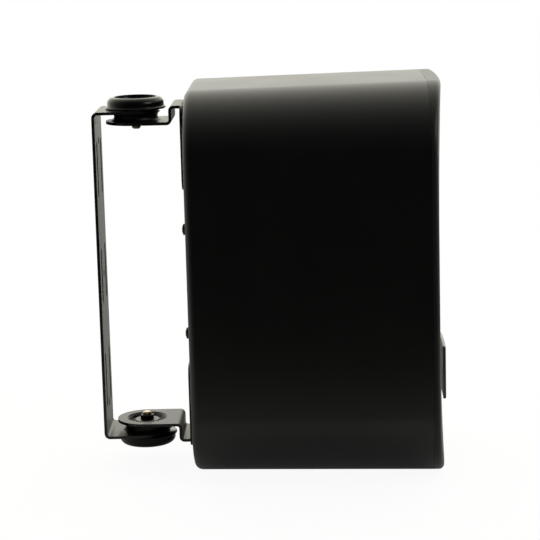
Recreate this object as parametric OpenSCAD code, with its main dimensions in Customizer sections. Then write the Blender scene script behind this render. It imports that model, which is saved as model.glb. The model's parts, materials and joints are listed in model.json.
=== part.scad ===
// Wall speaker on a pan yoke. Millimetres. The origin is the centre of the yoke's wall face:
// +Z is up, the wall is the plane Y = 0, and the speaker looks along -Y.

/* [Yoke] */
// Width of the folded steel strip
strip_w = 44; // [38:1:50]
// Thickness of the strip and of the cabinet brackets
sheet_t = 2; // [1.6:0.1:2.6]
// Distance between the outer faces of the two arms
arm_span = 226.8; // [215:1:240]
// Distance from the wall to the pan axis
pivot_reach = 28.25; // [26:0.25:34]
// Length of the arm past the pan axis
arm_tip = 15.75; // [14:0.25:18]
// Outside radius of the yoke's two bends
yoke_bend_r = 4; // [3:0.5:6]
// Distance of each slot column from the middle of the strip
slot_x = 12; // [10:0.5:13]
// Width of the wall slots
slot_w = 5.5; // [4:0.5:6]
// Length of the wall slots, end to end
slot_l = 38.5; // [30:0.5:46]
// Distance between neighbouring slots in a column
slot_pitch = 73.5; // [66:0.5:78]
// Diameter of the round wall holes
hole_d = 5; // [4:0.5:6]
// Distance between neighbouring round wall holes
hole_pitch = 92; // [80:1:96]

/* [Pivots] */
// Diameter of the pivot bolts
bolt_d = 6; // [5:0.5:7]
// Length of the bolt end past the bracket tab
bolt_end = 4; // [3.4:0.2:7]
// Across flats of the nuts and bolt heads
hex_af = 9; // [8:0.5:11]
// Height of the nuts
nut_h = 3.2; // [2.5:0.1:4]
// Height of the bolt heads inside the knobs
head_h = 2.6; // [2.4:0.1:3]
// Diameter of the washers
washer_d = 17; // [14:0.5:18]
// Thickness of the washers
washer_t = 1; // [0.6:0.1:1.4]
// Diameter of the round spacers
spacer_d = 35.4; // [34:0.2:37]
// Height of the round spacers
spacer_h = 5.8; // [5:0.1:8]
// How far the waist of a spacer is drawn in
spacer_waist = 2.8; // [1.5:0.1:3]

/* [Knobs] */
// Diameter of a knob over its brim
knob_d = 41.25; // [38:0.25:44]
// Thickness of the brim
knob_brim = 2; // [1.5:0.1:3]
// Diameter of the domed cap above the brim
knob_cap_d = 39; // [34:0.5:41]
// Height of a knob
knob_h = 8.1; // [7.7:0.1:10]
// Radius of the cap's rounded edge
knob_edge_r = 4.5; // [3:0.5:5]
// Radius of the dish inside the cap's raised rim
knob_dish_r = 14.8; // [12:0.2:15]
// Depth of the dish
knob_dish = 2.6; // [1:0.1:2.8]
// Wall thickness of a knob
knob_wall = 1.8; // [1.2:0.1:2.5]
// Number of ribs under a knob
knob_ribs = 8; // [4:1:12]

/* [Cabinet brackets] */
// Width of the bracket tab, which ends in a half round
tab_w = 41; // [36:1:46]
// Distance from the pan axis to the riser
riser_reach = 23.55; // [23:0.05:28]
// Height of the bracket from the tab's inner face to the flange's outer face
riser_h = 13.1; // [11:0.1:16]
// Outside radius of the bracket's bends
bracket_bend_r = 3.5; // [2.8:0.1:5]
// Distance from the riser's rear face to the fixing plate's rear face
flange_l = 8.2; // [8:0.1:12]
// Width of the fixing plate
plate_w = 66; // [54:1:76]
// Height of the fixing plate
plate_h = 57; // [50:1:60]
// Corner radius of the fixing plate
plate_r = 8; // [4:1:12]
// How far the fixing plate reaches past the outer face of the flange
plate_past = 0.7; // [0:0.1:1.5]
// Radius of the pressed dish round the nut, at its mouth
recess_r = 14.2; // [13:0.1:14.4]
// Depth of the pressed dish
recess_depth = 2.3; // [2.2:0.1:2.6]
// Thickness of the sheet that is left under the dish
dish_floor_t = 1.1; // [0.9:0.1:1.3]
// Number of teeth in the recess
recess_teeth = 36; // [24:4:48]
// Sideways distance of the bracket screws from the middle
bracket_screw_x = 23; // [20:1:26]
// Height between the two rows of bracket screws
bracket_screw_dz = 14; // [12:1:16]

/* [Cabinet] */
// Width of the cabinet at its rear
cab_w = 170; // [160:1:190]
// Height of the cabinet at its rear
cab_h = 257.5; // [246:0.5:270]
// Depth from the rear face to the seam of the grille
cab_d = 159.8; // [150:0.1:175]
// Corner radius at the rear
corner_r = 44.2; // [36:0.1:50]
// Draft of the cabinet's sides, in degrees
draft = 1.06; // [0.5:0.02:1.5]
// Radius round the rear edge
rear_edge_r = 5; // [3:0.5:8]
// Wall thickness of the cabinet
wall = 3; // [2.4:0.1:4]
// How far the two pads that carry the brackets stand off the rear
pad_rise = 2.2; // [1.6:0.1:3]
// Height of each pad
pad_h = 28; // [26:1:32]
// Depth of the screw bosses inside the rear wall
boss_depth = 12; // [10:1:16]

/* [Grille] */
// Thickness of the perforated sheet
grille_t = 1; // [0.8:0.1:1.4]
// Distance from the seam to the front of the grille at its sides
grille_side = 4.2; // [3.6:0.1:6]
// How far the grille bows out between side and middle
grille_bow = 6.5; // [4:0.1:9]
// Radius round the edge of the grille
grille_edge_r = 3.5; // [2:0.1:3.6]
// Distance between neighbouring holes
hole_grid = 9.6; // [9:0.1:16]
// Diameter of the holes
grille_hole_d = 6.4; // [5:0.1:7]
// Bare band round the perforation
grille_band = 9; // [7:0.5:14]
// Width of the badge plate
badge_w = 50; // [40:1:60]
// Height of the badge plate
badge_h = 37; // [30:1:44]
// Height of the badge's middle below the middle of the grille
badge_drop = 70.5; // [60:0.5:80]
// Thickness of the badge plate
badge_t = 2; // [1.4:0.1:2.6]

/* [Drive units] */
// Distance of the woofer's middle below the middle of the cabinet
woofer_drop = 47; // [44:1:52]
// Outer diameter of the woofer
woofer_d = 132; // [126:1:136]
// Diameter of the woofer's magnet
magnet_d = 90; // [80:1:100]
// Diameter of the voice coil
coil_d = 26; // [24:1:30]
// Height of the tweeter's middle above the middle of the cabinet
tweeter_rise = 66; // [60:1:72]
// Outer diameter of the tweeter
tweeter_d = 74; // [68:1:78]
// Sideways distance of the two ports
port_x = 57; // [55:1:58]
// Inner diameter of the ports
port_d = 24; // [18:1:26]
// Length of the port tubes
port_l = 72; // [50:1:90]

/* [Baffle] */
// Thickness of the front baffle
baffle_t = 6; // [5:0.5:8]
// Distance from the seam of the grille back to the baffle's front face
baffle_sink = 6; // [5:0.5:9]
// Width of the ledge that carries the baffle
ledge_w = 7; // [6:0.5:9]
// Thickness of the ledge
ledge_t = 5; // [4:0.5:8]

/* [Crossover] */
// Width of the crossover board
board_w = 110; // [100:1:116]
// Height of the crossover board
board_h = 60; // [56:1:66]
// Height of the board's middle above the middle of the cabinet
board_z = 80; // [76:1:82]
// Thickness of the board
board_t = 1.6; // [1.2:0.1:2]
// Length of the posts that carry the board, from the rear face
board_gap = 18; // [16:0.5:24]

/* [Terminals] */
// Width of the terminal panel
panel_w = 96; // [88:1:104]
// Height of the terminal panel
panel_h = 88; // [80:1:96]
// Thickness of the terminal panel
panel_t = 2; // [1.6:0.1:3]
// Width of the panel's cup
cup_w = 56; // [50:1:60]
// Height of the panel's cup
cup_h = 42; // [36:1:50]
// Depth of the panel's cup
cup_depth = 24; // [20:1:30]
// Sideways distance of each panel screw from the middle
panel_screw_x = 39; // [37:0.5:42]
// Height of each panel screw from the middle
panel_screw_z = 35.5; // [33:0.5:38]
// Sideways distance of each terminal from the middle
post_x = 13; // [11:0.5:15]
// Diameter of the terminal posts
post_d = 7; // [6:0.5:8]
// Diameter of the plug sockets in the posts
socket_d = 4; // [3.8:0.1:4.4]
// Diameter of the terminal caps
cap_d = 12; // [11:0.5:13]
// Length of the terminal caps
cap_l = 13; // [11:0.5:15]

/* [Fit] */
// Radial running clearance of a bolt or post in the piece it turns in
run_gap = 0.06; // [0.03:0.01:0.09]
// Radial clearance of a bolt in a plain hole
hole_gap = 0.3; // [0.2:0.05:0.5]
// Gap between faces that slide on each other
slide_gap = 0.1; // [0.05:0.01:0.2]
// Gap between fixed neighbours
seat_gap = 0.2; // [0.1:0.05:0.3]

/* [Hidden] */
$fn = 64;
eps = 0.01;
side_fn = 72;
bow_fn = 300;
black = [0.07, 0.07, 0.075];
steel_black = [0.13, 0.13, 0.14];
screw_black = [0.12, 0.12, 0.12];
brass = [0.75, 0.6, 0.3];
copper = [0.7, 0.4, 0.2];

// Heights above the middle of the stack at each pivot
arm_out = arm_span / 2;
arm_in = arm_out - sheet_t;
tab_out = arm_in - spacer_h;
tab_in = tab_out - sheet_t;
flange_out = tab_in + riser_h;
bolt_end_z = tab_in - bolt_end;
knob_hub_r = hex_af / 2 / cos(30) + knob_wall;
knob_hollow = knob_h - knob_dish - knob_wall - slide_gap;
dish_rise = recess_depth + dish_floor_t - sheet_t;
dish_floor_r = recess_r - 2;
dish_back_r = recess_r - 0.6;
nut_z = tab_in + recess_depth - washer_t;
// Places along Y
pivot_y = -pivot_reach;
riser_y = pivot_y - riser_reach;
plate_y = riser_y - flange_l;
pad_y = plate_y - sheet_t;
rear_y = pad_y - pad_rise;
seam_y = rear_y - cab_d;
baffle_y = seam_y + baffle_sink;
ledge_y = baffle_y + baffle_t;
panel_y = rear_y + panel_t;
cup_floor_y = panel_y - cup_depth;
// Growth of the outline from the rear face to the seam
seam_grow = cab_d * tan(draft);
lip_gap = grille_t + 2 * seat_gap;
lip_t = wall - lip_gap;
// The lip ends where the inside of the grille starts to curve in
lip_h = grille_side - grille_edge_r + 0.35 * (grille_edge_r - grille_t);
port_t = 2;
port_rim = 3;
tweeter_magnet_d = tweeter_d - 14;
tweeter_magnet_h = 18;
tweeter_screw_r = tweeter_d / 2 - 3.6;
tweeter_screw_d = 2.5;
bracket_screw_d = 4.4;
bracket_head_d = 8.4;
panel_screw_d = 3.5;
cup_r = 4;
board_screw_d = 3;
screw_head_d = 7.6;
boss_r = 5;
tooth_l = 3;
tooth_w = 0.9;
tooth_depth = 0.4;
woofer_z = -woofer_drop;
woofer_r = woofer_d / 2;
woofer_hole_r = woofer_r - 9;
woofer_screw_r = woofer_r - 4.2;
woofer_screw_d = 3;
woofer_head_d = 6;
coil_r = coil_d / 2;
board_y = rear_y - board_gap;
stud_d = 5;
stud_end_y = cup_floor_y - panel_t - 9;
collar_h = 2;
flange_t = 3;
basket_depth = 41;
basket_t = 2;
basket_rim = 7;
basket_inner_r = woofer_hole_r - 3;
motor_r = magnet_d / 2 - 5;
top_plate_t = 5;
magnet_t = 15;
pole_plate_t = 6;
cone_r = woofer_hole_r - 12;
cone_neck_z = -19;
spider_z = -31;
dome_d = 26;
bolt_r = bolt_d / 2;
chamfer = 0.8;
relief = 1.2;
bow_half = cab_w / 2 + seam_grow;
bow_r = (bow_half * bow_half + grille_bow * grille_bow) / (2 * grille_bow);
front_y = seam_y - grille_side - grille_bow;
badge_z = -badge_drop;
plate_mid = flange_out + plate_past - plate_h / 2;
pad_mid = flange_out - bracket_bend_r / 2 - pad_h / 2;

// Shapes that repeat

// Runs its children at the upper pivot, or mirrored at the lower one
module at_pivot(upper) {
    translate([0, pivot_y, 0]) mirror([0, 0, upper ? 0 : 1]) children();
}

module both_ends() {
    for (m = [0, 1]) mirror([0, 0, m]) children();
}

// Rounded rectangle with true arcs, w by h with corner radius r
module round_rect(w, h, r) {
    square([w - 2 * r, h], center = true);
    square([w, h - 2 * r], center = true);
    for (x = [-1, 1], y = [-1, 1]) translate([x * (w / 2 - r), y * (h / 2 - r)]) circle(r);
}

// The cabinet's outline, grown by g on every side
module outline(g) {
    round_rect(cab_w + 2 * g, cab_h + 2 * g, corner_r + g);
}

// Extrudes a flat shape from y0 towards the front by depth
module forward(y0, depth) {
    translate([0, y0, 0]) rotate([90, 0, 0]) linear_extrude(depth) children();
}

// Turns local Y into height and local +Z towards the front
module facing_front(x, y, z) {
    translate([x, y, z]) rotate([90, 0, 0]) children();
}

// Turns local Y into height and local +Z towards the wall
module facing_rear(y) {
    translate([0, y, 0]) mirror([0, 1, 0]) rotate([90, 0, 0]) children();
}

// Quarter ring of sheet, bending from +X to +Y round the origin
module bend(outer_r) {
    intersection() {
        difference() {
            circle(outer_r);
            circle(outer_r - sheet_t);
        }
        square(outer_r);
    }
}

module hex(af, h) {
    cylinder(d = af / cos(30), h = h, $fn = 6);
}

module slot(l, w) {
    square([w, l - w], center = true);
    for (m = [-1, 1]) translate([0, m * (l - w) / 2]) circle(d = w);
}

// A screw whose head lies above local zero and whose shank lies below
module pan_screw(head_d, head_h, shank_d, shank_l) {
    rotate_extrude() intersection() {
        translate([0, head_h - head_d]) circle(head_d, $fn = 96);
        square([head_d / 2, head_h]);
    }
    translate([0, 0, -shank_l]) cylinder(d = shank_d, h = shank_l + eps);
}

module sunk_screw(head_d, shank_d, shank_l) {
    sink = (head_d - shank_d) / 2;
    translate([0, 0, -sink]) cylinder(d1 = shank_d, d2 = head_d, h = sink);
    translate([0, 0, -shank_l]) cylinder(d = shank_d, h = shank_l - sink + eps);
}

// Yoke

// Side section of one half of the yoke: wall plate, bend and the root of the arm
module yoke_section() {
    translate([-sheet_t, 0]) square([sheet_t, arm_out - yoke_bend_r]);
    translate([-yoke_bend_r, arm_out - yoke_bend_r]) bend(yoke_bend_r);
}

module arm_plan() {
    tip_y = pivot_y - arm_tip + strip_w / 2;
    difference() {
        union() {
            translate([-strip_w / 2, tip_y]) square([strip_w, -tip_y - yoke_bend_r]);
            intersection() {
                translate([0, tip_y]) circle(d = strip_w);
                translate([-strip_w / 2, tip_y - strip_w / 2]) square([strip_w, strip_w / 2]);
            }
        }
        translate([0, pivot_y]) circle(bolt_r + hole_gap);
    }
}

module wall_yoke() {
    color(steel_black) difference() {
        both_ends() {
            translate([-strip_w / 2, 0, 0]) rotate([90, 0, 90]) linear_extrude(strip_w) yoke_section();
            translate([0, 0, arm_in]) linear_extrude(sheet_t) arm_plan();
        }
        forward(1, sheet_t + 2) {
            for (x = [-1, 1], n = [-1 : 1]) translate([x * slot_x, n * slot_pitch]) slot(slot_l, slot_w);
            for (n = [-1 : 1]) translate([0, n * hole_pitch]) circle(d = hole_d);
        }
    }
}

// Pivot stack

// Round spacer with a drawn-in waist, and a socket that goes over the back of the pressed dish
module spacer(upper) {
    bore_r = bolt_r + hole_gap;
    color(black) at_pivot(upper) rotate_extrude() difference() {
        translate([bore_r, tab_out + slide_gap])
            square([spacer_d / 2 - bore_r, spacer_h - 2 * slide_gap]);
        translate([bore_r - 1, tab_out])
            square([dish_back_r + hole_gap - bore_r + 1, dish_rise + slide_gap]);
        translate([spacer_d / 2, (tab_out + arm_in) / 2])
            scale([1, spacer_h / 2 / spacer_waist, 1])
                circle(spacer_waist);
    }
}

module washer(upper) {
    color([0.62, 0.62, 0.6]) at_pivot(upper) translate([0, 0, nut_z]) difference() {
        cylinder(d = washer_d, h = washer_t);
        translate([0, 0, -1]) cylinder(r = bolt_r + hole_gap, h = washer_t + 2);
    }
}

module nut(upper) {
    color(black) at_pivot(upper) translate([0, 0, nut_z - nut_h]) difference() {
        hex(hex_af, nut_h);
        translate([0, 0, -1]) cylinder(r = bolt_r + run_gap, h = nut_h + 2);
    }
}

module pivot_bolt(upper) {
    head_z = arm_out + knob_brim;
    shank_z = bolt_end_z + chamfer;
    color([0.6, 0.55, 0.42]) at_pivot(upper) {
        translate([0, 0, bolt_end_z]) cylinder(r1 = bolt_r - chamfer, r2 = bolt_r, h = chamfer);
        translate([0, 0, shank_z]) cylinder(r = bolt_r, h = head_z - shank_z + eps);
        translate([0, 0, head_z]) hex(hex_af, head_h);
    }
}

// Half section of the knob: brim, dished cap with a rounded rim, and the hub that holds the bolt's head
module knob_section() {
    base_z = arm_out + slide_gap;
    top_z = arm_out + knob_h;
    edge_x = knob_cap_d / 2 - knob_edge_r;
    skirt_x = knob_cap_d / 2 - knob_wall;
    dish_draft = knob_dish / 3;
    difference() {
        union() {
            translate([0, base_z]) square([edge_x, top_z - base_z]);
            translate([edge_x - eps, base_z]) square([knob_edge_r + eps, top_z - base_z - knob_edge_r]);
            intersection() {
                translate([edge_x, top_z - knob_edge_r]) circle(knob_edge_r);
                translate([edge_x - eps, top_z - knob_edge_r - eps]) square(knob_edge_r + 2 * eps);
            }
            translate([skirt_x, base_z]) square([knob_d / 2 - skirt_x, knob_brim]);
        }
        translate([knob_hub_r, base_z - 1]) square([skirt_x - knob_hub_r, 1 + knob_hollow]);
        translate([0, top_z - knob_dish])
            polygon([[0, 0], [knob_dish_r - dish_draft, 0], [knob_dish_r, knob_dish],
                [knob_dish_r, knob_dish + 1], [0, knob_dish + 1]]);
    }
}

module knob(upper) {
    rib_t = 1.2;
    rib_l = knob_cap_d / 2 - knob_hub_r - 1.5;
    base_z = arm_out + slide_gap;
    rib_h = knob_hollow - 1;
    color(black) at_pivot(upper) difference() {
        union() {
            rotate_extrude() knob_section();
            for (n = [0 : knob_ribs - 1]) rotate(n * 360 / knob_ribs)
                translate([knob_hub_r - 0.5, -rib_t / 2, base_z + 1]) cube([rib_l, rib_t, rib_h + eps]);
        }
        translate([0, 0, base_z - 1]) cylinder(r = bolt_r + slide_gap, h = knob_brim + 2);
        translate([0, 0, arm_out + knob_brim]) hex(hex_af + slide_gap, head_h + slide_gap);
    }
}

// Cabinet brackets

// Side section from the root of the tab to the fixing plate, drawn with the front on the left
module bracket_section() {
    b = bracket_bend_r;
    inner_b = b - sheet_t;
    // bend from the tab up to the riser
    translate([riser_y + inner_b, tab_in + b]) mirror([1, 0]) mirror([0, 1]) bend(b);
    // riser
    translate([riser_y - sheet_t, tab_in + b]) square([sheet_t, riser_h - 2 * b]);
    // bend from the riser to the flange
    translate([riser_y - b, flange_out - b]) bend(b);
    // flange
    flange_front = plate_y - sheet_t + b;
    translate([flange_front, flange_out - sheet_t]) square([riser_y - b - flange_front, sheet_t]);
}

module bracket_tab() {
    translate([0, 0, tab_in]) linear_extrude(sheet_t) {
        translate([0, pivot_y]) intersection() {
            circle(d = tab_w);
            translate([-tab_w / 2, 0]) square([tab_w, tab_w / 2]);
        }
        translate([-tab_w / 2, riser_y + bracket_bend_r - sheet_t])
            square([tab_w, pivot_y - riser_y - bracket_bend_r + sheet_t]);
    }
}

// Rear view of the fixing plate, with a relief on both sides of the bend
module plate_view() {
    bend_z = flange_out - bracket_bend_r;
    difference() {
        translate([0, plate_mid]) round_rect(plate_w, plate_h, plate_r);
        translate([-tab_w / 2 - relief, bend_z - relief]) square([tab_w + 2 * relief, plate_h]);
    }
    translate([-tab_w / 2, plate_mid]) square([tab_w, bend_z - plate_mid]);
}

module bracket_screw_places() {
    for (x = [-1, 1], z = [-1, 1])
        translate([x * bracket_screw_x, pad_mid + z * bracket_screw_dz / 2])
            children();
}

module cabinet_bracket(upper) {
    color(steel_black) mirror([0, 0, upper ? 0 : 1]) difference() {
        union() {
            translate([-tab_w / 2, 0, 0]) rotate([90, 0, 90]) linear_extrude(tab_w) bracket_section();
            translate([-tab_w / 2, plate_y - sheet_t + bracket_bend_r, flange_out - bracket_bend_r])
                rotate([90, 0, 90]) linear_extrude(tab_w) mirror([1, 0]) bend(bracket_bend_r);
            bracket_tab();
            translate([0, pivot_y, tab_out - eps]) cylinder(r = dish_back_r, h = dish_rise + eps);
            forward(plate_y, sheet_t) plate_view();
        }
        translate([0, pivot_y, tab_in]) dish();
        facing_rear(plate_y) bracket_screw_places() sink_hole();
    }
}

// Pressed dish with radial teeth on its floor: local zero on the tab's inner face, +Z into the sheet
module dish() {
    cylinder(r1 = recess_r, r2 = dish_floor_r, h = recess_depth);
    translate([0, 0, -1]) cylinder(r = recess_r, h = 1 + eps);
    translate([0, 0, -1]) cylinder(r = bolt_r + hole_gap, h = recess_depth + dish_floor_t + 2);
    for (n = [0 : recess_teeth - 1]) rotate(n * 360 / recess_teeth)
        translate([dish_floor_r - tooth_l, -tooth_w / 2, 1])
            cube([tooth_l, tooth_w, recess_depth + tooth_depth - 1]);
}

// Countersunk hole in a bracket plate: local zero on its rear face, +Z out of the hole
module sink_hole() {
    sink = (bracket_head_d - bracket_screw_d) / 2;
    translate([0, 0, -sink])
        cylinder(d1 = bracket_screw_d + seat_gap, d2 = bracket_head_d + seat_gap, h = sink);
    translate([0, 0, -eps]) cylinder(d = bracket_head_d + seat_gap, h = 1);
    translate([0, 0, -sheet_t - 1]) cylinder(d = bracket_screw_d + seat_gap, h = sheet_t + 1);
}

module bracket_screws() {
    color(screw_black) both_ends() facing_rear(plate_y) bracket_screw_places() difference() {
        sunk_screw(bracket_head_d, bracket_screw_d, boss_depth);
        translate([0, 0, -1.4]) hex(3, 2);
    }
}

// Cabinet

// Thin slice of the outline at depth d from the rear face, pulled in by inset
module outline_slice(d, inset) {
    g = d * tan(draft) - inset;
    translate([0, rear_y - d, 0]) rotate([90, 0, 0]) linear_extrude(eps)
        round_rect(cab_w + 2 * g, cab_h + 2 * g, corner_r + g, $fn = side_fn);
}

// Drafted body with a rounded rear edge, pulled in by inset, from d0 behind the rear face to d1
module drafted_body(inset, d0, d1, edge_r) {
    hull() {
        for (a = [0 : 22.5 : 90]) outline_slice(d0 + edge_r * (1 - sin(a)), inset + edge_r * (1 - cos(a)));
        outline_slice(d1 - eps, inset);
    }
}

module panel_screw_places() {
    for (x = [-1, 1], z = [-1, 1]) translate([x * panel_screw_x, z * panel_screw_z]) children();
}

// Screws of the baffle: one in each corner and one half way down each side
module baffle_screw_places() {
    reach = (corner_r - wall - boss_r - 1) * cos(45);
    corner_x = cab_w / 2 - corner_r + reach;
    corner_z = cab_h / 2 - corner_r + reach;
    for (x = [-1, 1], z = [-1, 1]) translate([x * corner_x, z * corner_z]) children();
    for (x = [-1, 1]) translate([x * (cab_w / 2 - wall - boss_r), 0]) children();
}

module board_screw_places() {
    reach_x = board_w / 2 - boss_r;
    reach_z = board_h / 2 - boss_r;
    for (x = [-1, 1], z = [-1, 1]) translate([x * reach_x, board_z + z * reach_z]) children();
}

module cabinet_shell() {
    ledge_grow = (rear_y - ledge_y) * tan(draft);
    lip_grow = seam_grow - lip_gap;
    lip_root = 3;
    inner_y = rear_y - wall / 2;
    boss_y = ledge_y + boss_depth;
    cup_hole = 2 * (panel_t + seat_gap);
    color(black) difference() {
        union() {
            difference() {
                drafted_body(0, 0, cab_d, rear_edge_r);
                drafted_body(wall, wall, cab_d + 10, rear_edge_r - wall + 1);
            }
            // lip that the grille slips over
            forward(seam_y + eps, lip_h + eps) difference() {
                outline(lip_grow);
                outline(lip_grow - lip_t);
            }
            forward(seam_y + lip_root, lip_root) difference() {
                outline(seam_grow - wall / 2);
                outline(lip_grow - lip_t);
            }
            // ledge behind the baffle
            forward(ledge_y + ledge_t, ledge_t) difference() {
                outline(ledge_grow - wall / 2);
                outline(ledge_grow - wall - ledge_w);
            }
            forward(boss_y, boss_depth) baffle_screw_places() circle(boss_r);
            // pads under the bracket plates and the bosses behind them
            both_ends() forward(pad_y, pad_rise + wall / 2) translate([0, pad_mid])
                round_rect(plate_w - 4, pad_h, plate_r - 2);
            both_ends() forward(inner_y, boss_depth) bracket_screw_places() circle(boss_r);
            forward(inner_y, boss_depth) panel_screw_places() circle(boss_r - 0.5);
            forward(inner_y, board_gap - wall / 2) board_screw_places() circle(boss_r - 1);
        }
        // opening for the cup of the terminal panel
        forward(rear_y + 5, 20) round_rect(cup_w + cup_hole, cup_h + cup_hole, cup_r + panel_t);
        both_ends() forward(pad_y + 1, boss_depth + pad_rise - 1) bracket_screw_places()
            circle(d = bracket_screw_d + 2 * run_gap);
        forward(rear_y + 1, boss_depth) panel_screw_places() circle(panel_screw_d / 2 + run_gap);
        forward(boss_y - wall / 2, boss_depth) baffle_screw_places() circle(panel_screw_d / 2 + run_gap);
        forward(board_y + 8, 10) board_screw_places() circle(board_screw_d / 2 + run_gap);
    }
}

module front_baffle() {
    grow = (rear_y - ledge_y) * tan(draft) - wall - seat_gap;
    color(black) difference() {
        forward(ledge_y, baffle_t) outline(grow);
        forward(ledge_y + 1, baffle_t + 2) {
            translate([0, woofer_z]) circle(woofer_hole_r);
            translate([0, tweeter_rise]) circle(tweeter_magnet_d / 2 + 1);
            for (x = [-1, 1]) translate([x * port_x, tweeter_rise]) circle(port_d / 2 + port_t + seat_gap);
            baffle_screw_places() circle(panel_screw_d / 2 + hole_gap);
            translate([0, woofer_z]) corner_places(woofer_screw_r) circle(woofer_screw_d / 2 + run_gap);
            translate([0, tweeter_rise]) corner_places(tweeter_screw_r) circle(tweeter_screw_d / 2 + run_gap);
        }
    }
}

// Runs its children at four places on a ring of radius r
module corner_places(r) {
    for (x = [-1, 1], z = [-1, 1]) translate([x * r * cos(45), z * r * sin(45)]) children();
}

module baffle_screws() {
    color(screw_black) facing_front(0, baffle_y, 0) baffle_screw_places()
        pan_screw(screw_head_d, 2.4, panel_screw_d, baffle_t + boss_depth - 4);
}

// Grille

// Drafted, bowed and rounded front body, pulled in by inset on every side
module bowed_body(inset, back_y) {
    edge = grille_edge_r - inset;
    hull() for (a = [0 : 22.5 : 90]) {
        in = inset + edge * (1 - sin(a));
        lift = inset + edge * (1 - cos(a));
        intersection() {
            forward(back_y, back_y - front_y + 1)
                outline(seam_grow - in);
            translate([0, front_y + lift + bow_r, -cab_h]) cylinder(r = bow_r, h = 2 * cab_h, $fn = bow_fn);
        }
    }
}

// Staggered rows of holes, inside the bare band and clear of the badge
module grille_holes() {
    step_z = hole_grid * sin(60);
    margin = grille_band + grille_hole_d / 2;
    field_w = cab_w / 2 - margin;
    field_h = cab_h / 2 - margin;
    field_r = corner_r - margin;
    rows = floor(field_h / step_z);
    columns = floor(field_w / hole_grid) + 1;
    for (row = [-rows : rows], column = [-columns : columns]) {
        x = (column + (abs(row) % 2) / 2) * hole_grid;
        z = row * step_z;
        corner = [max(abs(x) - field_w + field_r, 0), max(abs(z) - field_h + field_r, 0)];
        if (abs(x) <= field_w && norm(corner) <= field_r && !on_badge(x, z))
            facing_front(x, seam_y, z)
                cylinder(d = grille_hole_d, h = grille_side + grille_bow + 1, $fn = 24);
    }
}

module grille() {
    color(black) difference() {
        bowed_body(0, seam_y - slide_gap);
        bowed_body(grille_t, seam_y + 1);
        grille_holes();
    }
}

function on_badge(x, z) =
    let (margin = (grille_hole_d + 1) / 2)
    abs(x) < badge_w / 2 + margin && abs(z - badge_z) < badge_h / 2 + margin;

module grille_badge() {
    color([0.3, 0.3, 0.3]) intersection() {
        translate([0, front_y + bow_r, badge_z - badge_h]) difference() {
            cylinder(r = bow_r + badge_t, h = 2 * badge_h, $fn = bow_fn);
            translate([0, 0, -1]) cylinder(r = bow_r, h = 2 * badge_h + 2, $fn = bow_fn);
        }
        translate([0, 0, badge_z]) forward(front_y + 5, badge_t + 8) round_rect(badge_w, badge_h, 2);
    }
}

// Terminals

module terminal_panel() {
    color(black) difference() {
        union() {
            forward(panel_y, panel_t) round_rect(panel_w, panel_h, 8);
            forward(panel_y, cup_depth + panel_t)
                round_rect(cup_w + 2 * panel_t, cup_h + 2 * panel_t, cup_r + panel_t);
        }
        forward(panel_y + 1, cup_depth + 1) round_rect(cup_w, cup_h, cup_r);
        forward(panel_y + 1, panel_t + 2) panel_screw_places() circle(panel_screw_d / 2 + seat_gap);
        forward(cup_floor_y + 1, panel_t + 2)
            for (x = [-1, 1]) translate([x * post_x, 0]) circle(d = stud_d + 2 * seat_gap);
    }
}

module terminal_panel_screws() {
    color(screw_black) facing_rear(panel_y) panel_screw_places() difference() {
        pan_screw(screw_head_d, 2.6, panel_screw_d, boss_depth);
        for (a = [0, 90]) rotate(a) translate([-2, -0.4, 1.3]) cube([4, 0.8, 2]);
    }
}

// Post at sideways place x: collar on the floor of the cup, socket towards the wall, stud inside
module post(x) {
    color(brass) translate([x, 0, 0]) facing_rear(cup_floor_y) difference() {
        union() {
            cylinder(d = cap_d - 1, h = collar_h);
            cylinder(d = post_d, h = collar_h + cap_l + 1);
            translate([0, 0, stud_end_y - cup_floor_y])
                cylinder(d = stud_d, h = cup_floor_y - stud_end_y + eps);
        }
        translate([0, 0, collar_h + 1]) cylinder(d = socket_d, h = cap_l + 2);
    }
}

module post_cap(x, tint) {
    color(tint) translate([x, 0, 0]) facing_rear(cup_floor_y + collar_h + slide_gap) difference() {
        cylinder(d = cap_d, h = cap_l);
        translate([0, 0, -1]) cylinder(r = post_d / 2 + run_gap, h = cap_l + 2);
        for (n = [0 : 11]) rotate(n * 30) translate([cap_d / 2 + 0.5, 0, 2]) cylinder(r = 1, h = cap_l);
    }
}

module terminal_nuts() {
    color(brass) for (x = [-1, 1])
        facing_front(x * post_x, cup_floor_y - panel_t, 0) difference() {
            hex(8, 4);
            translate([0, 0, -1]) cylinder(r = stud_d / 2 + run_gap, h = 6);
        }
}

// Woofer, drawn with local zero on the front face of the baffle and +Z to the front

module at_woofer() {
    facing_front(0, baffle_y, woofer_z) children();
}

module woofer_basket() {
    throat_r = coil_r + 5;
    leg_w = 18;
    window_w = 24;
    color(steel_black) at_woofer() difference() {
        union() {
            rotate_extrude() polygon([
                [basket_inner_r, flange_t], [woofer_r, flange_t], [woofer_r, 0],
                [woofer_hole_r - 0.5, 0], [woofer_hole_r - 0.5, -basket_rim],
                [motor_r + basket_t, -basket_depth], [throat_r, -basket_depth],
                [throat_r, basket_t - basket_depth], [motor_r, basket_t - basket_depth],
                [basket_inner_r, -basket_rim]]);
            // lug that carries the ends of the wires
            translate([-leg_w / 2, motor_r + 3, spider_z - 1]) cube([leg_w, 7, 8]);
        }
        for (n = [0 : 5]) rotate(n * 60)
            translate([motor_r - 10, -window_w / 2, 6 - basket_depth])
                cube([motor_r, window_w, basket_depth - 18]);
        corner_places(woofer_screw_r)
            translate([0, 0, -1]) cylinder(d = woofer_screw_d + 2 * hole_gap, h = flange_t + 2);
    }
}

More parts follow.
